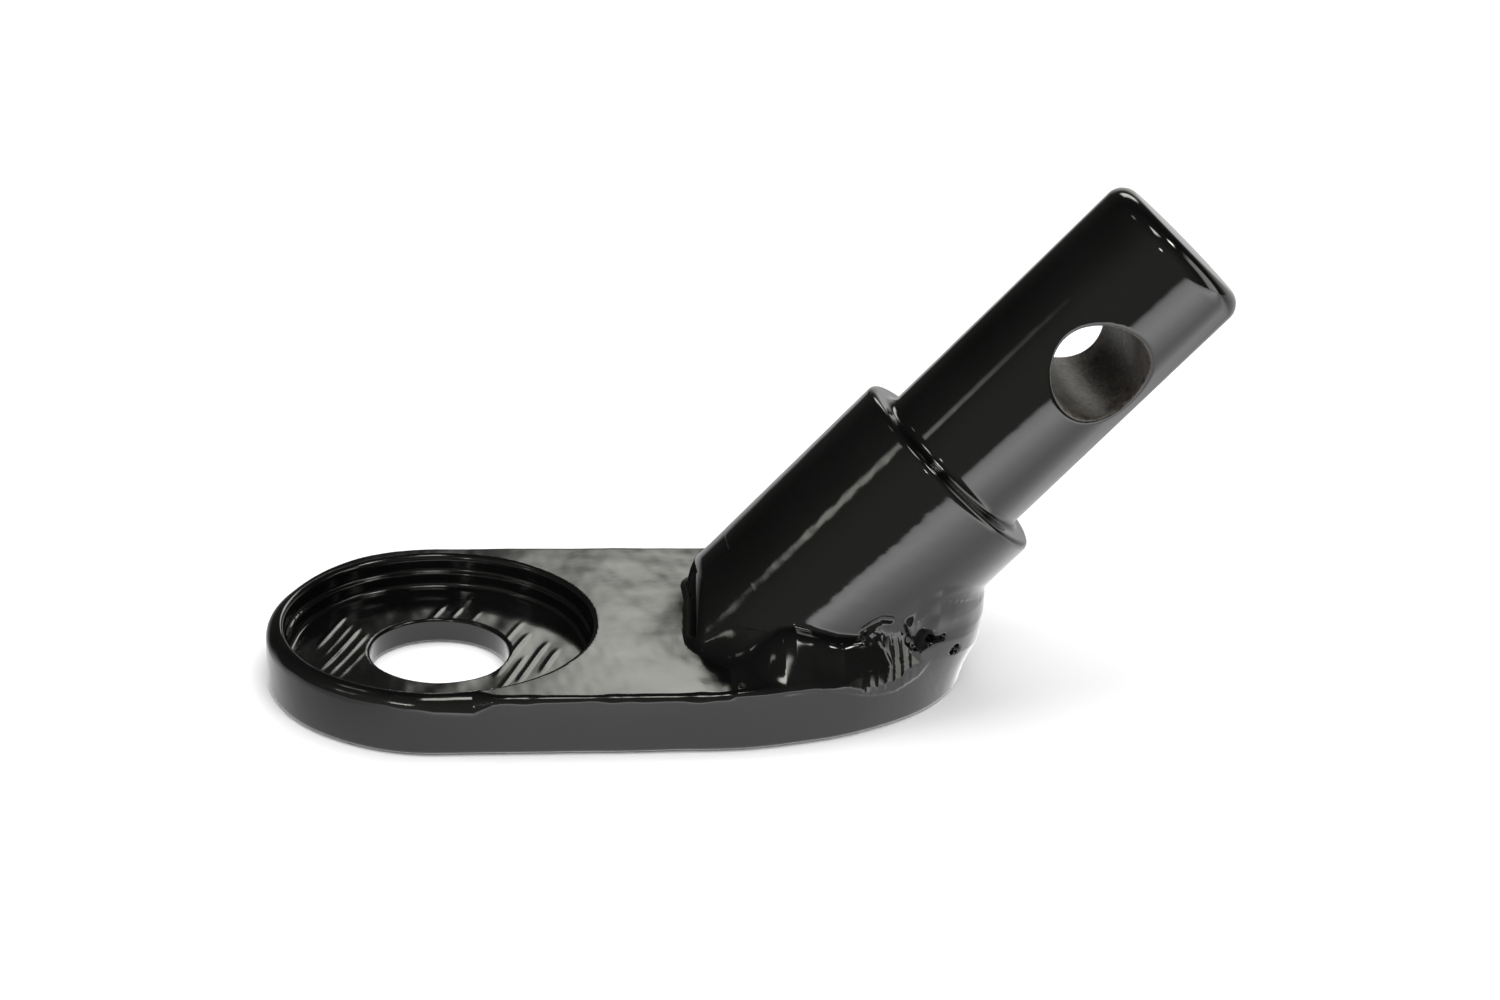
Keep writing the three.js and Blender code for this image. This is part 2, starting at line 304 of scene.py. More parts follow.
def dents(p):
    """Places where the weld didn't fill: a notch beside the last ripple, a pit at the heel, a nick under
    the sleeve."""
    out = np.full(len(p), 40.0)
    near = (p[:, 0] - AX > 40) & (p[:, 0] - AX < 50) & (p[:, 1] < -5)
    q = p[near]
    wobble = 0.20 * noise(q, 1.5, 61, 8)
    for x, y, z, rx, ry, rz in PITS:
        k = np.sqrt(((q[:, 0] - AX - x) / rx) ** 2 + ((q[:, 1] - y) / ry) ** 2 + ((q[:, 2] - z) / rz) ** 2)
        out[near] = np.minimum(out[near], (k - 1) * min(rx, ry, rz) + wobble * min(1, rx))
    path = np.array([(38.3, -10.6, 9.2), (39.1, -10.5, 9.8), (40.0, -10.4, 10.25), (40.9, -10.2, 10.1)])
    q = p - np.array([AX, 0, 0])
    for a, b in zip(path[:-1], path[1:]):
        ab = b - a
        t = np.clip(((q - a) @ ab) / (ab @ ab), 0, 1)
        out = np.minimum(out, np.linalg.norm(q - a - t[:, None] * ab, axis=1) - 0.32)
    return out


def heel(p, x):
    """The weld under the overhang: it stands on the bar's end like a wall and swells past it."""
    z = p[:, 2]
    swell = np.interp(z, [0, 1.3, 3.1, 5.1, 7.8, 9.5, 12], [0.35, 0.75, 1.25, 1.8, 2.05, 2.0, 1.6])
    swell = swell * smooth(0, 1, (x - 43.3 - 0.39 * np.maximum(7.0 - z, 0)) / 7.0) + np.interp(x, [42.5, 43.4, 44, 45.4, 47, 50], [-0.5, -0.35, -0.05, 0.6, 0.45, 0.0]) * smooth(7.5, 10.5, z)
    ceiling = np.interp(x, [42.2, 43.0, 43.8, 48, 51.5, 53], [10.0, 10.8, 13.0, 13.5, 11.0, 10.5])
    d = cut_round(outline(p) - swell, z - ceiling, 1.1)
    d = cut_round(d, (43.2 - x) * 0.93 - (z - 7.0) * 0.36, 0.5)
    return cut_round(d, -z, 0.4)


def spatter(p):
    """Small lumps on the weld and at the toe, in mm."""
    return 0.010 * noise(p, 2.1, 41, 10) * (0.55 + 0.45 * noise(p, 5.0, 42, 6))


def skirt(p):
    """How far the bar's top swells up towards the weld's foot: the coat thickens into the corner."""
    x, y = p[:, 0] - AX, p[:, 1]
    foot = 22.6 + 3.4 * smooth(3.0, -13.0, y) + 3.0 * smooth(4.0, 13.0, y)
    wide = 0.8 + 2.2 * np.exp(-(((y + 6.0) / 5.0) ** 2))
    u = np.clip((x - foot) / (2.5 * wide) + 1, 0, 1.2)
    return 0.125 * wide * u * u * smooth(6.0, 0.5, y)


def skin(p, rough=True):
    s, rho, rad = axial(p)
    x = p[:, 0] - AX
    swollen = p.copy()
    near = (x > 10) & (np.abs(p[:, 2] - T) < 3)
    swollen[near, 2] -= skirt(p[near])
    plate = bar(swollen, rough)
    up = join_round(sleeve(p, s, rho), stud(p, s, rho), 0.85)
    up = np.minimum(up, toe(p, s, rho))
    # foot fillet, widest beside the toe
    near_side = smooth(1.0, -5.0, p[:, 1])
    r = np.interp(x, [22, 24.5, 27, 30, 32, 45], [0.7, 0.7, 0.9, 0.8, 0.6, 0.6]) + near_side * np.interp(x, [24, 26, 28, 30.5, 32], [0.0, 1.4, 2.4, 2.2, 0.0])
    g = join_round(up, plate, r)
    box = (x > 22.5) & (p[:, 2] < T + 9) & (p[:, 2] > -1.5)
    if box.any():
        q, xq, barq, upq = p[box], x[box], plate[box], up[box]
        front = q[:, 1] < 0
        w = np.full(len(q), 40.0)
        back = ~front
        melt = np.full(len(q), -40.0)
        w[front], melt[front] = side_bead(q[front], xq[front], -q[front, 1], 0.0, 1.0, 0.0, rough)
        w[back], melt[back] = side_bead(q[back], xq[back], q[back, 1], 0.7, 0.85, 0.4, rough)
        gq = join_round(upq, np.maximum(barq, melt), r[box])
        gq = join_soft(gq, w, np.interp(xq, [22.5, 26, 29, 31], [0.05, 0.3, 0.6, 0.25]))
        gq = join_soft(gq, heel(q, xq), 0.05 + 0.5 * smooth(T - 0.5, T + 1.5, q[:, 2]))
        gq = cut_round(gq, -dents(q), 0.25)
        g[box] = gq
    return g


def detail(p):
    """The coat's fine unevenness, in mm, laid on the smooth surface."""
    s, rho, rad = axial(p)
    x = p[:, 0] - AX
    d = np.zeros(len(p))
    on_stud = s > SLEEVE_MOUTH + 0.3
    tube = ~on_stud & (s > 1.5) & (rho < SLEEVE_R + 0.4) & (p[:, 2] > T + 3)
    flat = ~on_stud & ~tube
    q = p[flat] * np.array([1.15, 0.55, 1])
    d[flat] = 0.013 * noise(q, 9.0, 30, 8) + 0.0055 * noise(q, 4.0, 31, 10) + 0.0022 * noise(q, 1.4, 32, 10)
    d[tube] = 0.0045 * noise(p[tube], 7.0, 33, 10) + 0.0020 * noise(p[tube], 1.7, 34, 12)
    d[on_stud] = 0.0030 * noise(p[on_stud], 8.0, 35, 10) + 0.0008 * noise(p[on_stud], 1.8, 36, 10)
    foot = flat & (x > 26.0) & (p[:, 2] > T + 0.15)
    if foot.any():
        d[foot] += spatter(p[foot]) * smooth(0.1, 0.8, p[foot, 2] - T) * smooth(26, 30, x[foot]) * smooth(47, 40, x[foot])
    return d


def full(p):
    return skin(p) + detail(p)


# ---- surface nets on a grid, then every vertex is moved onto the surface ------------------------
STEP = 0.38


def gradient(f, p, h):
    g = np.empty_like(p)
    for k in range(3):
        e = np.zeros(3)
        e[k] = h
        g[:, k] = (f(p + e) - f(p - e)) / (2 * h)
    return g


def surface_nets():
    lo = np.array(CAD_LO) * 1000 - 1.5
    hi = np.array(CAD_HI) * 1000 + 1.5
    n = np.ceil((hi - lo) / STEP).astype(int) + 1
    xs, ys, zs = (lo[k] + STEP * np.arange(n[k]) for k in range(3))
    val = np.empty(tuple(n), np.float32)
    gy, gz = np.meshgrid(ys, zs, indexing="ij")
    flat = np.stack([np.zeros(gy.size), gy.ravel(), gz.ravel()], -1)
    for i, x in enumerate(xs):
        flat[:, 0] = x
        val[i] = skin(flat, False).reshape(n[1], n[2])
    inside = val < 0
    # cells crossed by the surface
    c = np.zeros(tuple(n - 1), np.int8)
    for dx in (0, 1):
        for dy in (0, 1):
            for dz in (0, 1):
                c += inside[dx:dx + n[0] - 1, dy:dy + n[1] - 1, dz:dz + n[2] - 1]
    cells = np.argwhere((c > 0) & (c < 8))
    index = np.full(tuple(n - 1), -1, np.int64)
    index[tuple(cells.T)] = np.arange(len(cells))
    total = np.zeros((len(cells), 3))
    count = np.zeros(len(cells))
    corners = [(dx, dy, dz) for dx in (0, 1) for dy in (0, 1) for dz in (0, 1)]
    for a in corners:
        for k in range(3):
            if a[k]:
                continue
            b = list(a)
            b[k] = 1
            va = val[cells[:, 0] + a[0], cells[:, 1] + a[1], cells[:, 2] + a[2]].astype(float)
            vb = val[cells[:, 0] + b[0], cells[:, 1] + b[1], cells[:, 2] + b[2]].astype(float)
            cross = (va < 0) != (vb < 0)
            t = np.where(cross, va / np.where(va == vb, 1, va - vb), 0)
            pt = np.tile(np.array(a, float), (len(cells), 1))
            pt[:, k] += t
            total[cross] += pt[cross]
            count[cross] += 1
    verts = lo + STEP * (cells + total / count[:, None])
    quads = []
    for k in range(3):
        i, j = (k + 1) % 3, (k + 2) % 3
        sl0 = [slice(None)] * 3
        sl1 = [slice(None)] * 3
        sl0[k], sl1[k] = slice(0, -1), slice(1, None)
        a, b = inside[tuple(sl0)], inside[tuple(sl1)]
        e = np.argwhere(a != b)
        e = e[(e[:, i] > 0) & (e[:, j] > 0) & (e[:, i] < n[i] - 1) & (e[:, j] < n[j] - 1)]
        flip = a[tuple(e.T)]
        ring = []
        for di, dj in ((-1, -1), (0, -1), (0, 0), (-1, 0)):
            q = e.copy()
            q[:, i] += di
            q[:, j] += dj
            ring.append(index[tuple(q.T)])
        ring = np.stack(ring, -1)
        ring[~flip] = ring[~flip][:, ::-1]
        quads.append(ring)
    return verts, np.concatenate(quads)


def relax(verts, quads, f, rounds, share=0.5):
    """Evens out the quads and puts every vertex back on the surface."""
    for r in range(rounds):
        acc = np.zeros_like(verts)
        cnt = np.zeros(len(verts))
        for a in range(4):
            for b in ((a + 1) % 4, (a + 3) % 4):
                np.add.at(acc, quads[:, a], verts[quads[:, b]])
                np.add.at(cnt, quads[:, a], 1)
        mean = acc / cnt[:, None]
        g = gradient(f, verts, 0.03)
        nrm = g / np.linalg.norm(g, axis=1)[:, None]
        move = (mean - verts) * share
        move -= (move * nrm).sum(1)[:, None] * nrm
        verts = verts + move
        verts = project(verts, f, 1)
    return verts


def project(verts, f, rounds):
    for r in range(rounds):
        v = f(verts)
        g = gradient(f, verts, 0.03)
        step = v / np.maximum((g**2).sum(1), 0.05)
        move = g * step[:, None]
        ln = np.linalg.norm(move, axis=1)
        move *= np.minimum(1, 0.6 * STEP / np.maximum(ln, 1e-9))[:, None]
        verts = verts - move
    return verts


def split(verts, quads):
    """Each quad into four."""
    e = np.stack([quads, np.roll(quads, -1, 1)], -1).reshape(-1, 2)
    key, back = np.unique(np.sort(e, 1), axis=0, return_inverse=True)
    back = back.reshape(-1, 4)
    n, m = len(verts), len(key)
    pts = np.vstack([verts, verts[key].mean(1), verts[quads].mean(1)])
    c = n + m + np.arange(len(quads))
    out = []
    for k in range(4):
        out.append(np.stack([quads[:, k], n + back[:, k], c, n + back[:, (k + 3) % 4]], -1))
    return pts, np.concatenate(out)


smooth_skin = lambda p: skin(p, False)
verts, quads = surface_nets()
verts = project(verts, smooth_skin, 2)
verts = relax(verts, quads, smooth_skin, 2)
verts, quads = split(verts, quads)
verts = project(verts, smooth_skin, 2)
verts = project(verts, full, 4)
normals = gradient(full, verts, 0.05)
normals /= np.linalg.norm(normals, axis=1)[:, None]
print("skin:", len(verts), "vertices", len(quads), "quads", "worst", float(np.abs(full(verts)).max()))

# ---- which CAD node each face belongs to ------------------------------------------------------------
NODES = ["base_bar", "sleeve", "stud", "seam_bead", "weld_front", "weld_back", "weld_heel", "weld_toe"]


def labels():
    mid = verts[quads].mean(1)
    s, rho, rad = axial(mid)
    x = mid[:, 0] - AX
    d_bar = bar(mid, False)
    d_sleeve = sleeve(mid, s, rho)
    d_stud = stud(mid, s, rho)
    foot = np.degrees(np.arctan2(-mid[:, 1] / FOOT_B, (mid[:, 0] - P0[0]) / FOOT_A))
    eps = 0.07
    lab = np.zeros(len(quads), int)
    lab[(d_sleeve < eps) & (d_bar > eps)] = 1
    lab[(d_stud < eps) & (d_sleeve > eps) & (s > SLEEVE_MOUTH)] = 2
    lab[(s > SLEEVE_MOUTH - 0.25) & (s < SLEEVE_MOUTH + 1.6) & (d_sleeve > eps * 0.4) & (d_stud > eps * 0.4) & (rho < SLEEVE_R - 0.8)] = 3
    weld = (d_sleeve > eps) & (d_bar > eps) & (x > 21.5) & (mid[:, 2] > T - 1.4) & (s < SLEEVE_MOUTH - 6) & (rho > STUD_R + 1)
    side = np.where(foot > 40, 4, np.where(foot < -40, 5, 6))
    side[np.abs(foot) > 125] = 7
    lab[weld] = side[weld]
    # smooth the borders, so that no stray face is left on the wrong side
    e = np.stack([quads, np.roll(quads, -1, 1)], -1).reshape(-1, 2)
    key, back = np.unique(np.sort(e, 1), axis=0, return_inverse=True)
    back = back.reshape(-1, 4)
    vote = np.zeros((len(quads), len(NODES)), np.float32)
    vote[np.arange(len(quads)), lab] = 1
    for r in range(10):
        per_edge = np.zeros((len(key), len(NODES)), np.float32)
        for k in range(4):
            np.add.at(per_edge, back[:, k], vote)
        vote = vote * 0.2 + sum(per_edge[back[:, k]] for k in range(4)) * 0.1
    return vote.argmax(1)


label = labels()


# ---- one closed piece per node ------------------------------------------------------------------------
def hidden_side(node, co):
    """Where the skin's points go on the side that nobody sees, inside the joint."""
    s, rho, rad = axial(co)
    hat = rad / np.maximum(rho, 1e-6)[:, None]
    if node == "sleeve":
        bore = STUD_R + 0.3
        return P0 + AXIS * (s - 0.12)[:, None] + hat * (bore + 0.08 * (rho - bore))[:, None]
    if node == "seam_bead":
        ring = P0 + AXIS * (SLEEVE_MOUTH - 0.1) + hat * (STUD_R - 0.05)
        return ring + 0.15 * (co - ring)
    t = np.arctan2(-co[:, 1] / FOOT_B, (co[:, 0] - P0[0]) / FOOT_A)
    k = 0.93
    corner = np.stack([np.maximum(P0[0] + k * FOOT_A * np.cos(t), TOE_X + 0.4), -k * FOOT_B * np.sin(t), np.full(len(t), T - 0.5)], -1)
    return corner + 0.15 * (co - corner)


def make_piece(node, name, faces):
    used, back = np.unique(faces, return_inverse=True)
    f = back.reshape(faces.shape)
    co, no = verts[used], normals[used]
    m = len(used)
    e = np.stack([f, np.roll(f, -1, 1)], -1).reshape(-1, 2)
    code = e[:, 0].astype(np.int64) * m + e[:, 1]
    rev = e[:, 1].astype(np.int64) * m + e[:, 0]
    rim = e[~np.isin(code, rev)]
    polys = [tuple(q) for q in f.tolist()]
    n_outer = len(polys)
    n_inner = 0
    if node == "stud":
        ids = np.unique(rim)
        slot_of = {int(v): m + i for i, v in enumerate(ids)}
        s, rho, rad = axial(co[ids])
        low = P0 + AXIS * STUD_FOOT + rad / rho[:, None] * STUD_R
        pts = np.vstack([co, low, P0 + AXIS * STUD_FOOT])
        c = len(pts) - 1
        polys += [(int(b), int(a), slot_of[int(a)], slot_of[int(b)]) for a, b in rim]
        polys += [(slot_of[int(b)], slot_of[int(a)], c) for a, b in rim]
    elif node == "base_bar":
        pts = np.vstack([co, [[P0[0] + 1.0, 0, T - 1.6]]])
        polys += [(int(b), int(a), m) for a, b in rim]
    else:
        pts = np.vstack([co, hidden_side(node, co)])
        polys += [tuple(q) for q in (f[:, ::-1] + m).tolist()]
        n_inner = len(f)
        polys += [(int(b), int(a), int(a) + m, int(b) + m) for a, b in rim]
    mesh = bpy.data.meshes.new(name)
    mesh.from_pydata((pts / 1000).tolist(), [], polys)
    mesh.update()
    mesh.polygons.foreach_set("use_smooth", np.ones(len(polys), bool))
    loop_v = np.empty(len(mesh.loops), np.int32)
    mesh.loops.foreach_get("vertex_index", loop_v)
    flat = np.zeros(len(mesh.polygons) * 3, np.float32)
    mesh.polygons.foreach_get("normal", flat)
    total = np.empty(len(mesh.polygons), np.int32)
    mesh.polygons.foreach_get("loop_total", total)
    corner = np.repeat(flat.reshape(-1, 3), total, 0).astype(float)
    corner[:4 * n_outer] = no[loop_v[:4 * n_outer]]
    mesh.normals_split_custom_set(corner.tolist())
    ob = bpy.data.objects.new(name, mesh)
    bpy.context.scene.collection.objects.link(ob)
    return ob


SLOTS = {e["node"]: e["material_slot"] for e in frame["record"]["subparts"]}
pieces = {}
for i, node in enumerate(NODES):
    faces = quads[label == i]
    print("piece", node, len(faces))
    ob = make_piece(node, node + "_coated", faces)
    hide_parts(node)
    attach(ob, "root")
    pieces[node] = ob


# ---- materials ---------------------------------------------------------------------------------------------
class Graph:
    """Small helpers to write node arithmetic as plain lines."""

    def __init__(self, tree):
        self.t = tree
        self.tc = tree.nodes.new("ShaderNodeTexCoord")

    def axes(self, socket):
        sep = self.t.nodes.new("ShaderNodeSeparateXYZ")
        self.t.links.new(socket, sep.inputs[0])
        return sep.outputs[0], sep.outputs[1], sep.outputs[2]

    def op(self, kind, *args):
        n = self.t.nodes.new("ShaderNodeMath")
        n.operation = kind
        for i, a in enumerate(args):
            if hasattr(a, "links"):
                self.t.links.new(a, n.inputs[i])
            else:
                n.inputs[i].default_value = a
        return n.outputs[0]

    def ramp(self, socket, stops):
        """Piecewise smooth function through (position, value) pairs."""
        lo, hi = stops[0][0], stops[-1][0]
        top = max(v for _, v in stops)
        mr = self.t.nodes.new("ShaderNodeMapRange")
        self.t.links.new(socket, mr.inputs["Value"])
        mr.inputs["From Min"].default_value = lo
        mr.inputs["From Max"].default_value = hi
        cr = self.t.nodes.new("ShaderNodeValToRGB")
        cr.color_ramp.interpolation = "LINEAR"
        els = cr.color_ramp.elements
        els.remove(els[-1])
        for i, (pos, val) in enumerate(stops):
            where = (pos - lo) / (hi - lo)
            e = els[0] if i == 0 else els.new(where)
            e.position = where
            e.color = (val / top, val / top, val / top, 1)
        self.t.links.new(mr.outputs["Result"], cr.inputs["Fac"])
        return self.op("MULTIPLY", cr.outputs["Color"], top)


def coat(name, rough, peel_scale, peel, extra=None):
    mat = bpy.data.materials.new(name)
    mat.use_nodes = True
    nt = mat.node_tree
    n, l = nt.nodes, nt.links
    n.clear()
    out = n.new("ShaderNodeOutputMaterial")
    bsdf = n.new("ShaderNodeBsdfPrincipled")
    l.new(bsdf.outputs[0], out.inputs[0])
    tc = n.new("ShaderNodeTexCoord")
    # deep black with a faint drift of tone where the coat is thicker or thinner
    tone = n.new("ShaderNodeTexNoise")
    tone.inputs["Scale"].default_value = 90
    tone.inputs["Detail"].default_value = 3
    l.new(tc.outputs["Object"], tone.inputs["Vector"])
    ramp = n.new("ShaderNodeValToRGB")
    ramp.color_ramp.elements[0].position = 0.35
    ramp.color_ramp.elements[0].color = (0.0012, 0.0012, 0.0013, 1)
    ramp.color_ramp.elements[1].position = 0.7
    ramp.color_ramp.elements[1].color = (0.0030, 0.0029, 0.0030, 1)
    l.new(tone.outputs["Fac"], ramp.inputs["Fac"])
    l.new(ramp.outputs["Color"], bsdf.inputs["Base Color"])
    # gloss, a little cloudy
    cloud = n.new("ShaderNodeTexNoise")
    cloud.inputs["Scale"].default_value = 220
    cloud.inputs["Detail"].default_value = 4
    l.new(tc.outputs["Object"], cloud.inputs["Vector"])
    mr = n.new("ShaderNodeMapRange")
    mr.inputs["From Min"].default_value = 0.3
    mr.inputs["From Max"].default_value = 0.75
    mr.inputs["To Min"].default_value = rough * 0.8
    mr.inputs["To Max"].default_value = rough * 1.3
    l.new(cloud.outputs["Fac"], mr.inputs["Value"])
    l.new(mr.outputs["Result"], bsdf.inputs["Roughness"])
    bsdf.inputs["IOR"].default_value = 1.5
    bsdf.inputs["Metallic"].default_value = 0.0
    # orange peel
    n1 = n.new("ShaderNodeTexNoise")
    n1.inputs["Scale"].default_value = peel_scale
    n1.inputs["Detail"].default_value = 2
    l.new(tc.outputs["Object"], n1.inputs["Vector"])
    b1 = n.new("ShaderNodeBump")
    b1.inputs["Strength"].default_value = 1.0
    b1.inputs["Distance"].default_value = peel
    l.new(n1.outputs["Fac"], b1.inputs["Height"])
    l.new(b1.outputs["Normal"], bsdf.inputs["Normal"])
    if extra:
        extra(nt, tc, bsdf, b1)
    return mat


def blend(nt, factor, socket, value, kind="FLOAT"):
    """Mixes what feeds an input with a value or another socket."""
    mix = nt.nodes.new("ShaderNodeMix")
    mix.data_type = kind
    a, b, o = (2, 3, 0) if kind == "FLOAT" else (6, 7, 2)
    nt.links.new(factor, mix.inputs[0])
    if socket.links:
        nt.links.new(socket.links[0].from_socket, mix.inputs[a])
    else:
        mix.inputs[a].default_value = socket.default_value
    if hasattr(value, "links"):
        nt.links.new(value, mix.inputs[b])
    else:
        mix.inputs[b].default_value = value
    nt.links.new(mix.outputs[o], socket)


def gritty_bore(nt, tc, bsdf, bump):
    """Inside the pin hole the coat is thin: brown-grey, rough, with fine grit."""
    g = Graph(nt)
    x, y, z = g.axes(tc.outputs["Object"])
    q = [g.op("SUBTRACT", v, float(c) / 1000) for v, c in zip((x, y, z), PIN_C)]
    along = g.op("ADD", g.op("ADD", g.op("MULTIPLY", q[0], float(PIN_D[0])), g.op("MULTIPLY", q[1], float(PIN_D[1]))), g.op("MULTIPLY", q[2], float(PIN_D[2])))
    sq = g.op("ADD", g.op("ADD", g.op("MULTIPLY", q[0], q[0]), g.op("MULTIPLY", q[1], q[1])), g.op("MULTIPLY", q[2], q[2]))
    r = g.op("SQRT", g.op("MAXIMUM", g.op("SUBTRACT", sq, g.op("MULTIPLY", along, along)), 0.0))
    inside = g.ramp(r, [(0.0, 1), (0.00456, 1), (0.00480, 0), (0.006, 0)])
    grit = nt.nodes.new("ShaderNodeTexNoise")
    grit.inputs["Scale"].default_value = 2600
    grit.inputs["Detail"].default_value = 5
    nt.links.new(tc.outputs["Object"], grit.inputs["Vector"])
    patch = nt.nodes.new("ShaderNodeTexNoise")
    patch.inputs["Scale"].default_value = 420
    patch.inputs["Detail"].default_value = 3
    nt.links.new(tc.outputs["Object"], patch.inputs["Vector"])
    tone = nt.nodes.new("ShaderNodeValToRGB")
    els = tone.color_ramp.elements
    els[0].position, els[0].color = 0.36, (0.006, 0.0055, 0.005, 1)
    els[1].position, els[1].color = 0.62, (0.105, 0.092, 0.080, 1)
    nt.links.new(g.op("ADD", g.op("MULTIPLY", grit.outputs["Fac"], 0.55), g.op("MULTIPLY", patch.outputs["Fac"], 0.45)), tone.inputs["Fac"])
    blend(nt, inside, bsdf.inputs["Base Color"], tone.outputs["Color"], "RGBA")
    blend(nt, inside, bsdf.inputs["Roughness"], 0.42)
    b2 = nt.nodes.new("ShaderNodeBump")
    b2.inputs["Distance"].default_value = 0.00004
    nt.links.new(g.op("MULTIPLY", grit.outputs["Fac"], inside), b2.inputs["Height"])
    nt.links.new(bump.outputs["Normal"], b2.inputs["Normal"])
    nt.links.new(b2.outputs["Normal"], bsdf.inputs["Normal"])


def pits_painted_dark(nt, tc, bsdf, bump):
    """Painted shade in the weld's pits: they are made rough and almost without reflection, so they read dark."""
    g = Graph(nt)
    x, y, z = g.axes(tc.outputs["Object"])
    total = None
    for cx, cy, cz, rx, ry, rz in PITS:
        parts = [g.op("DIVIDE", g.op("SUBTRACT", v, c / 1000), r / 1000) for v, c, r in zip((x, y, z), (cx + AX, cy, cz), (rx, ry, rz))]
        k = g.op("SQRT", g.op("ADD", g.op("ADD", g.op("MULTIPLY", parts[0], parts[0]), g.op("MULTIPLY", parts[1], parts[1])), g.op("MULTIPLY", parts[2], parts[2])))
        m = g.ramp(k, [(0.0, 1), (1.0, 1), (1.15, 0), (3.0, 0)])
        total = m if total is None else g.op("MAXIMUM", total, m)
    # painted shade: inside the pits the coat is made rough and nearly unreflecting
    blend(nt, total, bsdf.inputs["Roughness"], 0.6)
    blend(nt, total, bsdf.inputs["Specular IOR Level"], 0.08)


mats = {
    "bar_coat": coat("bar_coat", 0.13, 700, 0.0000050),
    "tube_coat": coat("tube_coat", 0.07, 1400, 0.0000042),
    "stud_coat": coat("stud_coat", 0.06, 1200, 0.0000016, gritty_bore),
    "weld_coat": coat("weld_coat", 0.08, 600, 0.0000040, pits_painted_dark),
}
for node, ob in pieces.items():
    ob.data.materials.append(mats[SLOTS[node]])

# ---- floor, light and what the gloss sees ------------------------------------------------------------------
def new_object(name, co, faces):
    mesh = bpy.data.meshes.new(name)
    mesh.from_pydata(co, [], faces)
    ob = bpy.data.objects.new(name, mesh)
    bpy.context.scene.collection.objects.link(ob)
    return ob


def plane(name, x0, x1, y0, y1, z):
    ob = new_object(name, [(x0, y0, z), (x1, y0, z), (x1, y1, z), (x0, y1, z)], [(0, 1, 2, 3)])
    return ob


def floor_material():
    mat = bpy.data.materials.new("pale_floor")
    mat.use_nodes = True
    b = mat.node_tree.nodes["Principled BSDF"]
    b.inputs["Base Color"].default_value = (0.93, 0.93, 0.93, 1)
    b.inputs["Roughness"].default_value = 0.7
    b.inputs["Specular IOR Level"].default_value = 0.1
    return mat


def emissive(name, colour, level):
    """level is a number, or a function that takes a Graph and returns a socket."""
    mat = bpy.data.materials.new(name)
    mat.use_nodes = True
    nt = mat.node_tree
    nt.nodes.clear()
    out = nt.nodes.new("ShaderNodeOutputMaterial")
    em = nt.nodes.new("ShaderNodeEmission")
    em.inputs["Color"].default_value = (*colour, 1)
    if callable(level):
        nt.links.new(level(Graph(nt)), em.inputs["Strength"])
    else:
        em.inputs["Strength"].default_value = level
    nt.links.new(em.outputs[0], out.inputs[0])
    return mat


def only(ob, camera=False, diffuse=False, glossy=False):
    ob.visible_camera = camera
    ob.visible_diffuse = diffuse
    ob.visible_glossy = glossy
    ob.visible_transmission = False
    ob.visible_volume_scatter = False
    ob.visible_shadow = False


def direction(az, el):
    """A unit vector; azimuth 0 is +Y and 90 is +X, as seen from the object."""
    a, e = math.radians(az), math.radians(el)
    return Vector((math.sin(a) * math.cos(e), math.cos(a) * math.cos(e), math.sin(e)))


CENTRE = Vector((0.0, 0.0, 0.015))


def area(name, az, el, dist, size_x, size_y, watts):
    """A soft box that lights the floor and is not seen in the gloss."""
    light = bpy.data.lights.new(name, "AREA")
    light.shape = "RECTANGLE"
    light.size, light.size_y = size_x, size_y
    light.energy = watts
    ob = bpy.data.objects.new(name, light)
    bpy.context.scene.collection.objects.link(ob)
    pos = CENTRE + direction(az, el) * dist
    ob.location = pos
    ob.rotation_mode = "QUATERNION"
    ob.rotation_quaternion = (pos - CENTRE).to_track_quat("Z", "Y")
    ob.visible_camera = False
    ob.visible_glossy = False
    return ob


floor = plane("floor", -2.4, 2.4, -2.4, 2.4, -0.0002)
floor.data.materials.append(floor_material())
floor.visible_glossy = False

area("light_over", 30, 76, 1.7, 2.0, 2.0, 34)
area("light_front", 165, 48, 1.7, 1.4, 1.2, 18)
area("light_left", -95, 35, 1.7, 0.8, 0.8, 8)

# the table as the gloss sees it: lit in front of the object, dimmer under and behind it
table_top = plane("table_glow", -0.5, 0.5, -0.30, 0.6, -0.0001)


def table_shade(g):
    x, y, z = g.axes(g.tc.outputs["Object"])
    along = g.ramp(y, [(-0.30, 0.4), (-0.26, 1.0), (-0.20, 2.9), (-0.16, 3.6), (-0.11, 4.1), (-0.083, 4.3), (-0.06, 3.7), (-0.046, 2.9), (-0.030, 2.0), (-0.024, 1.6),
                       (-0.016, 1.5), (0.0, 1.9), (0.010, 1.3), (0.03, 0.55), (0.2, 0.7), (0.6, 0.8)])
    side = g.ramp(x, [(-0.14, 0.35), (-0.075, 0.38), (-0.05, 0.48), (-0.035, 0.85), (-0.02, 1.0), (0.06, 1.0), (0.2, 0.9)])
    return g.op("MULTIPLY", along, side)


table_top.data.materials.append(emissive("table_glow", (1, 1, 1), table_shade))
only(table_top, glossy=True)


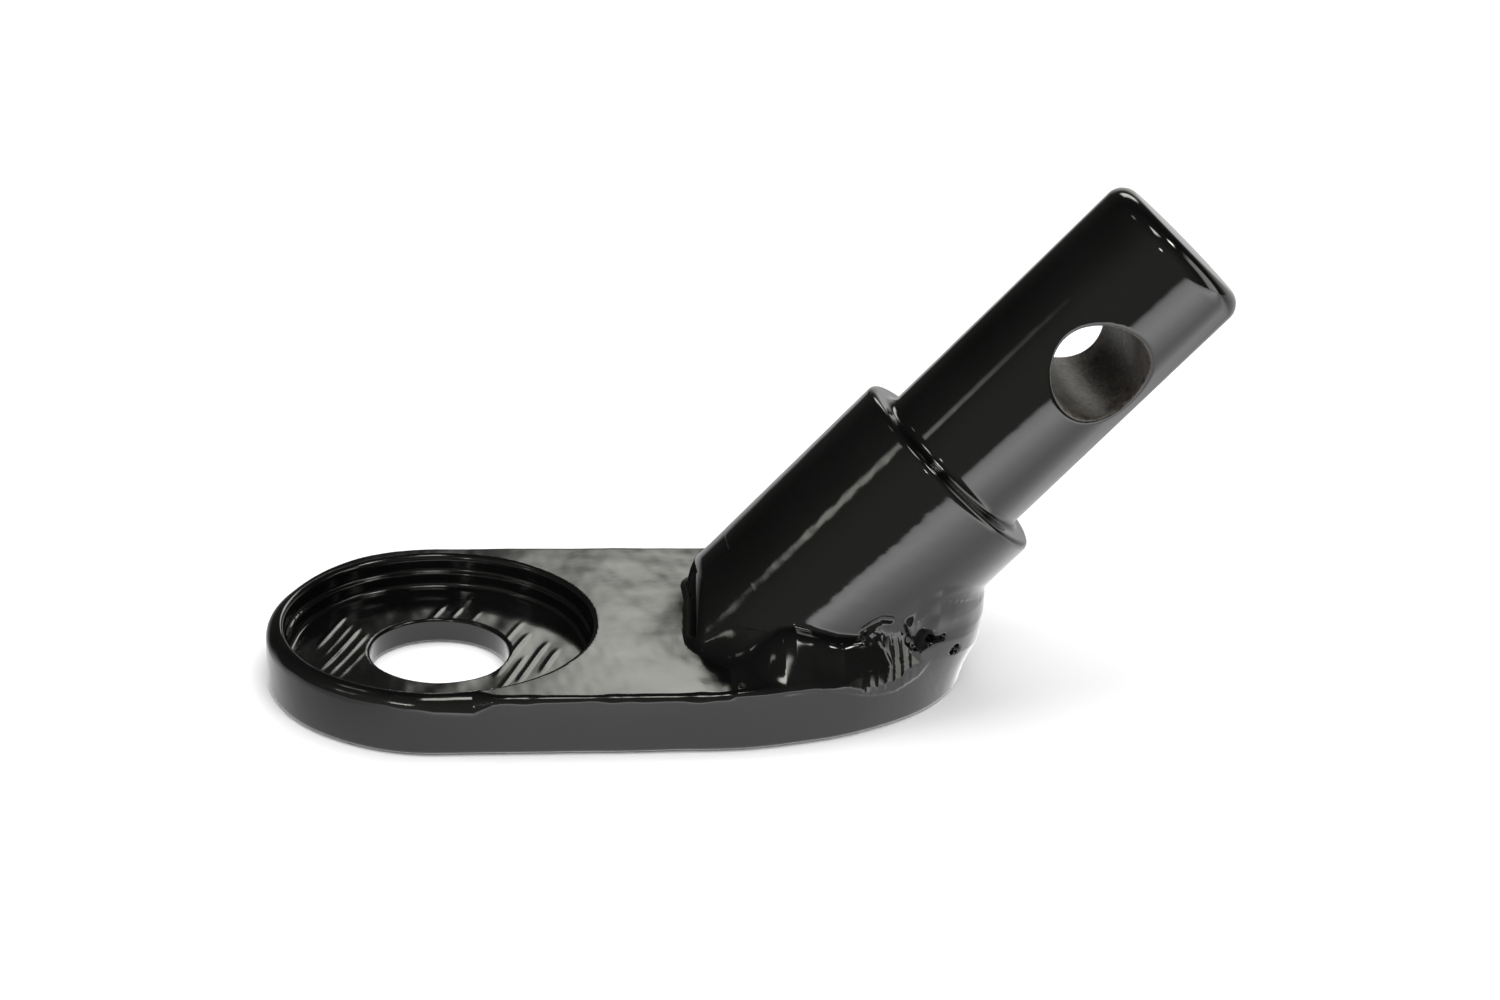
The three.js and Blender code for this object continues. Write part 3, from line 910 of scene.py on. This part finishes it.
def room_shade(g):
    """The room as the gloss sees it, as brightness by direction from the object."""
    n = g.t.nodes.new("ShaderNodeVectorMath")
    n.operation = "NORMALIZE"
    g.t.links.new(g.tc.outputs["Object"], n.inputs[0])
    x, y, z = g.axes(n.outputs[0])
    az = g.op("DEGREES", g.op("ARCTAN2", x, y))
    el = g.op("DEGREES", g.op("ARCSINE", z))
    dot = g.t.nodes.new("ShaderNodeVectorMath")
    dot.operation = "DOT_PRODUCT"
    dot.inputs[1].default_value = direction(-158, 8)
    g.t.links.new(n.outputs[0], dot.inputs[0])
    total = g.ramp(dot.outputs["Value"], [(-1, 0.06), (-0.35, 0.04), (0.0, 0.08), (0.35, 0.13), (0.6, 0.2), (0.8, 0.30), (1.0, 0.36)])
    nz = g.t.nodes.new("ShaderNodeTexNoise")
    nz.inputs["Scale"].default_value = 2.5
    g.t.links.new(g.tc.outputs["Object"], nz.inputs["Vector"])
    uneven = g.op("ADD", g.op("MULTIPLY", nz.outputs["Fac"], 0.5), 0.75)
    for a_stops, e_stops, level in LAMPS:
        k = g.op("MULTIPLY", g.ramp(az, a_stops), g.ramp(el, e_stops))
        total = g.op("ADD", total, g.op("MULTIPLY", g.op("MULTIPLY", k, level), uneven))
    return total


def edge(lo, hi, soft):
    return [(lo - soft, 0), (lo + soft, 1), (hi - soft, 1), (hi + soft, 0)]


# azimuth band, elevation band, brightness
LAMPS = [
    (edge(2.0, 26, 2.5), edge(24.2, 35, 1.8), 3.7),       # window behind
    ([(-112.5, 0), (-109.5, 1), (-105.5, 1), (-102, 0)], [(25.5, 0), (27.5, 0.45), (30, 1.1), (32, 0.75), (34, 0.45), (36.5, 0.12), (37.5, 0)], 3.6),  # narrow lamp at the left
    (edge(99, 114, 1.5), edge(54, 61, 1.5), 26.0),        # strong lamp at the right
    (edge(90, 114, 3.0), edge(-4, 40, 4.0), 3.0),         # window at the right
    ([(-180, 1), (-168, 0), (140, 0), (150, 1), (180, 1)], edge(71, 84, 2.5), 11.0),
    (edge(2, 65, 8.0), edge(-10, 12, 5.0), 0.6),                 # low pale wall behind  # panel overhead
    (edge(-160, -154, 1.0), edge(28, 32, 1.0), 30.0),
    (edge(-82, -68, 2.0), edge(56, 62, 2.0), 3.0),
]


def dome(name, radius, colour, level):
    import bmesh
    mesh = bpy.data.meshes.new(name)
    bm = bmesh.new()
    bmesh.ops.create_icosphere(bm, subdivisions=4, radius=radius)
    bm.to_mesh(mesh)
    bm.free()
    mesh.polygons.foreach_set("use_smooth", np.ones(len(mesh.polygons), bool))
    ob = bpy.data.objects.new(name, mesh)
    bpy.context.scene.collection.objects.link(ob)
    ob.location = CENTRE
    ob.data.materials.append(emissive(name, colour, level))
    return ob


only(dome("room", 1.5, (1.0, 1.0, 0.93), room_shade), glossy=True)

# pale backdrop, seen only by the camera
only(dome("backdrop", 2.3, (1, 1, 1), 0.93), camera=True)

# ---- world: a dim, even light all round -------------------------------------------------------------------------
world = bpy.data.worlds.new("room")
bpy.context.scene.world = world
world.use_nodes = True
nt = world.node_tree
bg = nt.nodes["Background"]
bg.inputs["Color"].default_value = (1, 1, 1, 1)
bg.inputs["Strength"].default_value = 0.05

# ---- camera: at the photograph's own viewing angle ---------------------------------------------------------------
cam_data = bpy.data.cameras.new("camera")
cam = bpy.data.objects.new("camera", cam_data)
bpy.context.scene.collection.objects.link(cam)
cam_data.sensor_width = 36
cam_data.lens = 2656.67 / 1500 * 36
cam_data.clip_start, cam_data.clip_end = 0.01, 20
c_r = Vector((0.99194437, -0.11713753, 0.04821999)).normalized()
c_d = Vector((0.12664138, 0.90835421, -0.39856566)).normalized()
c_u = c_r.cross(c_d).normalized()
m = Matrix(((c_r.x, c_u.x, -c_d.x), (c_r.y, c_u.y, -c_d.y), (c_r.z, c_u.z, -c_d.z)))
cam.matrix_world = Matrix.Translation(Vector((-0.0307484, -0.2245211, 0.1161852))) @ m.to_4x4()
bpy.context.scene.camera = cam
bpy.context.scene.view_settings.view_transform = "Standard"
